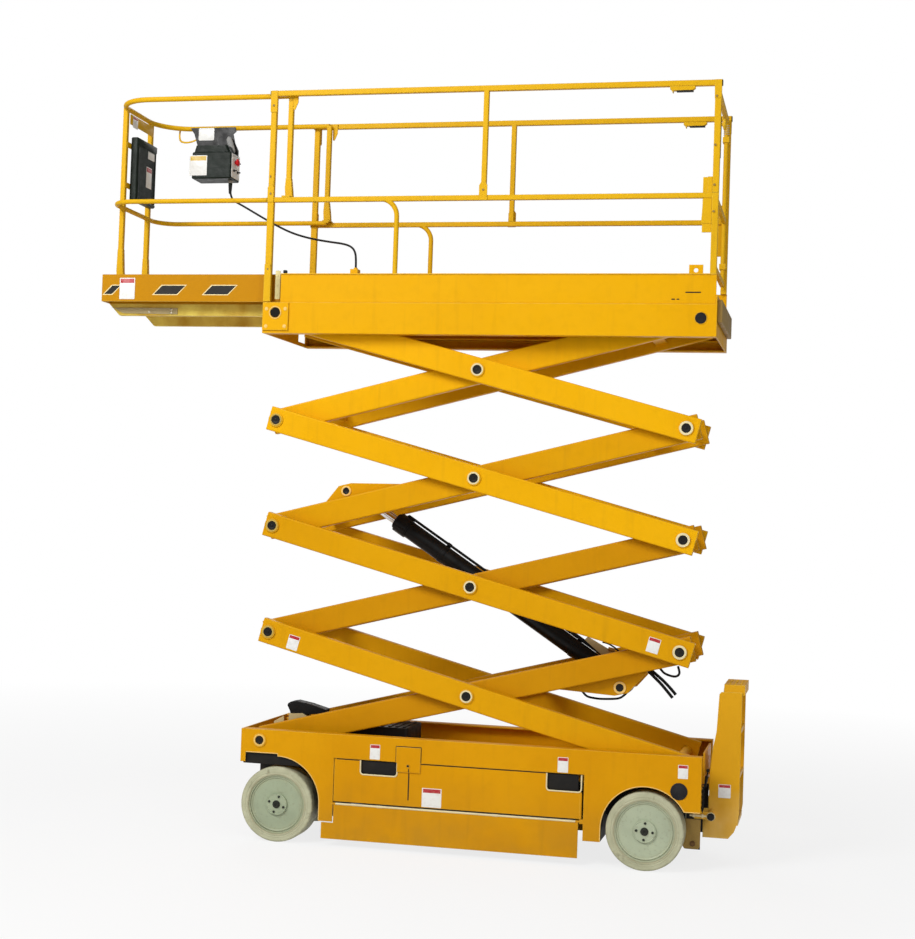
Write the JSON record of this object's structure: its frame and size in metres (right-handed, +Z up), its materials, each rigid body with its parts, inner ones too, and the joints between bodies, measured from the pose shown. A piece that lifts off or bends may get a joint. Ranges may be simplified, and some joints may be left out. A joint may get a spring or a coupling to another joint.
{
  "type": "scissor lift",
  "caption": "Self-propelled electric scissor lift with a roll-out deck, folding-type guard rails, rear ladder and non-marking tyres.",
  "frame": {"origin": "on the floor, midway between the extension's front face and the ladder's back, on the machine's centre plane", "axes": "+X forward, to the steered end; +Y to the machine's left; +Z up"},
  "size_m": [3.405, 0.782, 3.846],
  "materials": {
    "chassis_yellow": "semi-gloss paint",
    "arm_yellow": "semi-gloss paint",
    "platform_yellow": "semi-gloss paint",
    "rail_yellow": "semi-gloss paint",
    "black_steel": "blackened pin ends",
    "black_paint": "satin black paint",
    "dark_steel": "greased rollers",
    "chrome": "hard chromed rod",
    "wheel_grey": "pale green-grey paint",
    "pale_tyre": "non-marking solid tyre, off-white",
    "dark_grey_plastic": "battery cases and pump housing",
    "grey_plastic": "moulded socket",
    "dark_green_plastic": "moulded housing",
    "black_rubber": "cable sheath"
  },
  "bodies": {
    "chassis": {"chassis_skins": "chassis_yellow", "chassis_tracks": "chassis_yellow", "chassis_tub": "chassis_yellow", "chassis_bays": "chassis_yellow", "chassis_pivot_pins": "black_steel", "front_axle": "black_paint", "rear_axle": "black_paint", "power_packs": "dark_grey_plastic", "ladder": "chassis_yellow"},
    "steer_left": {"steering_knuckle_left": "black_paint"},
    "steer_right": {"steering_knuckle_right": "black_paint"},
    "track_rod": {"tie_rod": "black_paint"},
    "wheel_front_left": {"tyre_front_left": "pale_tyre", "wheel_front_left": "wheel_grey"},
    "wheel_front_right": {"tyre_front_right": "pale_tyre", "wheel_front_right": "wheel_grey"},
    "wheel_rear_left": {"tyre_rear_left": "pale_tyre", "wheel_rear_left": "wheel_grey"},
    "wheel_rear_right": {"tyre_rear_right": "pale_tyre", "wheel_rear_right": "wheel_grey"},
    "door_left": {"tray_door_left": "chassis_yellow"},
    "door_right": {"tray_door_right": "chassis_yellow"},
    "guard_left": {"pothole_guard_left": "chassis_yellow"},
    "guard_right": {"pothole_guard_right": "chassis_yellow"},
    "inner_1": {"inner_arms_1": "arm_yellow", "cross_beams_1": "arm_yellow"},
    "outer_1": {"outer_arms_1": "arm_yellow", "arm_pins_1": "black_steel"},
    "inner_2": {"inner_arms_2": "arm_yellow", "cross_beams_2": "arm_yellow"},
    "outer_2": {"outer_arms_2": "arm_yellow", "arm_pins_2": "black_steel"},
    "inner_3": {"inner_arms_3": "arm_yellow", "cross_beams_3": "arm_yellow"},
    "outer_3": {"outer_arms_3": "arm_yellow", "arm_pins_3": "black_steel"},
    "inner_4": {"inner_arms_4": "arm_yellow", "cross_beams_4": "arm_yellow", "platform_rollers": "dark_steel"},
    "outer_4": {"outer_arms_4": "arm_yellow", "arm_pins_4": "black_steel"},
    "barrel": {"cylinder_barrel": "black_paint"},
    "rod": {"cylinder_rod": "chrome"},
    "platform": {"platform_frame": "platform_yellow", "platform_pivots": "platform_yellow", "toe_boards": "platform_yellow", "guard_rail_left": "rail_yellow", "guard_rail_right": "rail_yellow", "cable_socket": "grey_plastic"},
    "gate": {"rear_gate": "rail_yellow"},
    "extension": {"extension_deck": "platform_yellow", "extension_rails": "rail_yellow", "document_box": "dark_green_plastic", "control_box": "dark_green_plastic", "control_cable": "black_rubber"}
  },
  "joints": [
    {"name": "lift", "type": "hinge", "parent": "chassis", "child": "inner_1", "pos_m": [0.7181, 0, 0.5093], "axis": [0, 1, 0], "range_deg": [-10.73, 45.47]},
    {"name": "cross_1", "type": "hinge", "parent": "inner_1", "child": "outer_1", "pos_m": [-0.33607, 0, 0.78252], "axis": [0, 1, 0], "range_deg": [-91.44, 21.96]},
    {"name": "stack_1", "type": "hinge", "parent": "outer_1", "child": "inner_2", "pos_m": [0.7181, 0, 1.05573], "axis": [0, 1, 0], "range_deg": [-21.96, 91.44]},
    {"name": "cross_2", "type": "hinge", "parent": "inner_2", "child": "outer_2", "pos_m": [-0.33607, 0, 1.32895], "axis": [0, 1, 0], "range_deg": [-91.44, 21.96]},
    {"name": "stack_2", "type": "hinge", "parent": "outer_2", "child": "inner_3", "pos_m": [0.7181, 0, 1.60216], "axis": [0, 1, 0], "range_deg": [-21.96, 91.44]},
    {"name": "cross_3", "type": "hinge", "parent": "inner_3", "child": "outer_3", "pos_m": [-0.33607, 0, 1.87538], "axis": [0, 1, 0], "range_deg": [-91.44, 21.96]},
    {"name": "stack_3", "type": "hinge", "parent": "outer_3", "child": "inner_4", "pos_m": [0.7181, 0, 2.14859], "axis": [0, 1, 0], "range_deg": [-21.96, 91.44]},
    {"name": "cross_4", "type": "hinge", "parent": "inner_4", "child": "outer_4", "pos_m": [-0.33607, 0, 2.42181], "axis": [0, 1, 0], "range_deg": [-91.44, 21.96]},
    {"name": "platform_level", "type": "hinge", "parent": "outer_4", "child": "platform", "pos_m": [0.7181, 0, 2.69503], "axis": [0, 1, 0], "range_deg": [-11.23, 45.97]},
    {"name": "cylinder_tilt", "type": "hinge", "parent": "inner_1", "child": "barrel", "pos_m": [-1.08925, 0, 0.85789], "axis": [0, 1, 0], "range_deg": [-87.8, 21.1]},
    {"name": "cylinder_stroke", "type": "slide", "parent": "barrel", "child": "rod", "axis": [0.8403, 0, 0.5421], "range_m": [-0.2324, 0.9752]},
    {"name": "steer_left", "type": "hinge", "parent": "chassis", "child": "steer_left", "pos_m": [0.6175, 0.276, 0.19], "axis": [0, 0, 1], "range_deg": [-45, 45]},
    {"name": "steer_right", "type": "hinge", "parent": "chassis", "child": "steer_right", "pos_m": [0.6175, -0.276, 0.19], "axis": [0, 0, 1], "range_deg": [-45.5, 45.5]},
    {"name": "track_rod_turn", "type": "hinge", "parent": "steer_left", "child": "track_rod", "pos_m": [0.5175, 0.206, 0.1115], "axis": [0, 0, 1], "range_deg": [-58.5, 58.5]},
    {"name": "wheel_front_left_roll", "type": "hinge", "parent": "steer_left", "child": "wheel_front_left", "pos_m": [0.6175, 0.313, 0.19], "axis": [0, 1, 0], "continuous": true},
    {"name": "wheel_front_right_roll", "type": "hinge", "parent": "steer_right", "child": "wheel_front_right", "pos_m": [0.6175, -0.313, 0.19], "axis": [0, 1, 0], "continuous": true},
    {"name": "wheel_rear_left_roll", "type": "hinge", "parent": "chassis", "child": "wheel_rear_left", "pos_m": [-1.2525, 0.313, 0.19], "axis": [0, 1, 0], "continuous": true},
    {"name": "wheel_rear_right_roll", "type": "hinge", "parent": "chassis", "child": "wheel_rear_right", "pos_m": [-1.2525, -0.313, 0.19], "axis": [0, 1, 0], "continuous": true},
    {"name": "tray_door_left_swing", "type": "hinge", "parent": "chassis", "child": "door_left", "pos_m": [-0.9385, 0.375, 0.335], "axis": [0, 0, 1], "range_deg": [0, 100]},
    {"name": "pothole_guard_left_fold", "type": "hinge", "parent": "chassis", "child": "guard_left", "pos_m": [-0.2825, 0.374, 0.215], "axis": [1, 0, 0], "range_deg": [-90, 0]},
    {"name": "tray_door_right_swing", "type": "hinge", "parent": "chassis", "child": "door_right", "pos_m": [-0.9385, -0.375, 0.335], "axis": [0, 0, 1], "range_deg": [-100, 0]},
    {"name": "pothole_guard_right_fold", "type": "hinge", "parent": "chassis", "child": "guard_right", "pos_m": [-0.2825, -0.374, 0.215], "axis": [1, 0, 0], "range_deg": [0, 90]},
    {"name": "extension_roll", "type": "slide", "parent": "platform", "child": "extension", "axis": [1, 0, 0], "range_m": [-0.9, 0]},
    {"name": "rear_gate_swing", "type": "hinge", "parent": "platform", "child": "gate", "pos_m": [-1.4975, -0.323, 3.29503], "axis": [0, 0, 1], "range_deg": [-90, 0]}
  ],
  "couplings": [
    {"joint": "cross_1", "follows": "lift", "ratio": -2},
    {"joint": "stack_1", "follows": "lift", "ratio": 2},
    {"joint": "cross_2", "follows": "lift", "ratio": -2},
    {"joint": "stack_2", "follows": "lift", "ratio": 2},
    {"joint": "cross_3", "follows": "lift", "ratio": -2},
    {"joint": "stack_3", "follows": "lift", "ratio": 2},
    {"joint": "cross_4", "follows": "lift", "ratio": -2},
    {"joint": "platform_level", "follows": "lift", "ratio": 1},
    {"joint": "cylinder_tilt", "follows": "lift", "ratio": -1.92},
    {"joint": "cylinder_stroke", "follows": "lift", "m_per_rad": 1.225},
    {"joint": "steer_right", "follows": "steer_left", "ratio": 1},
    {"joint": "track_rod_turn", "follows": "steer_left", "ratio": -1.28}
  ]
}
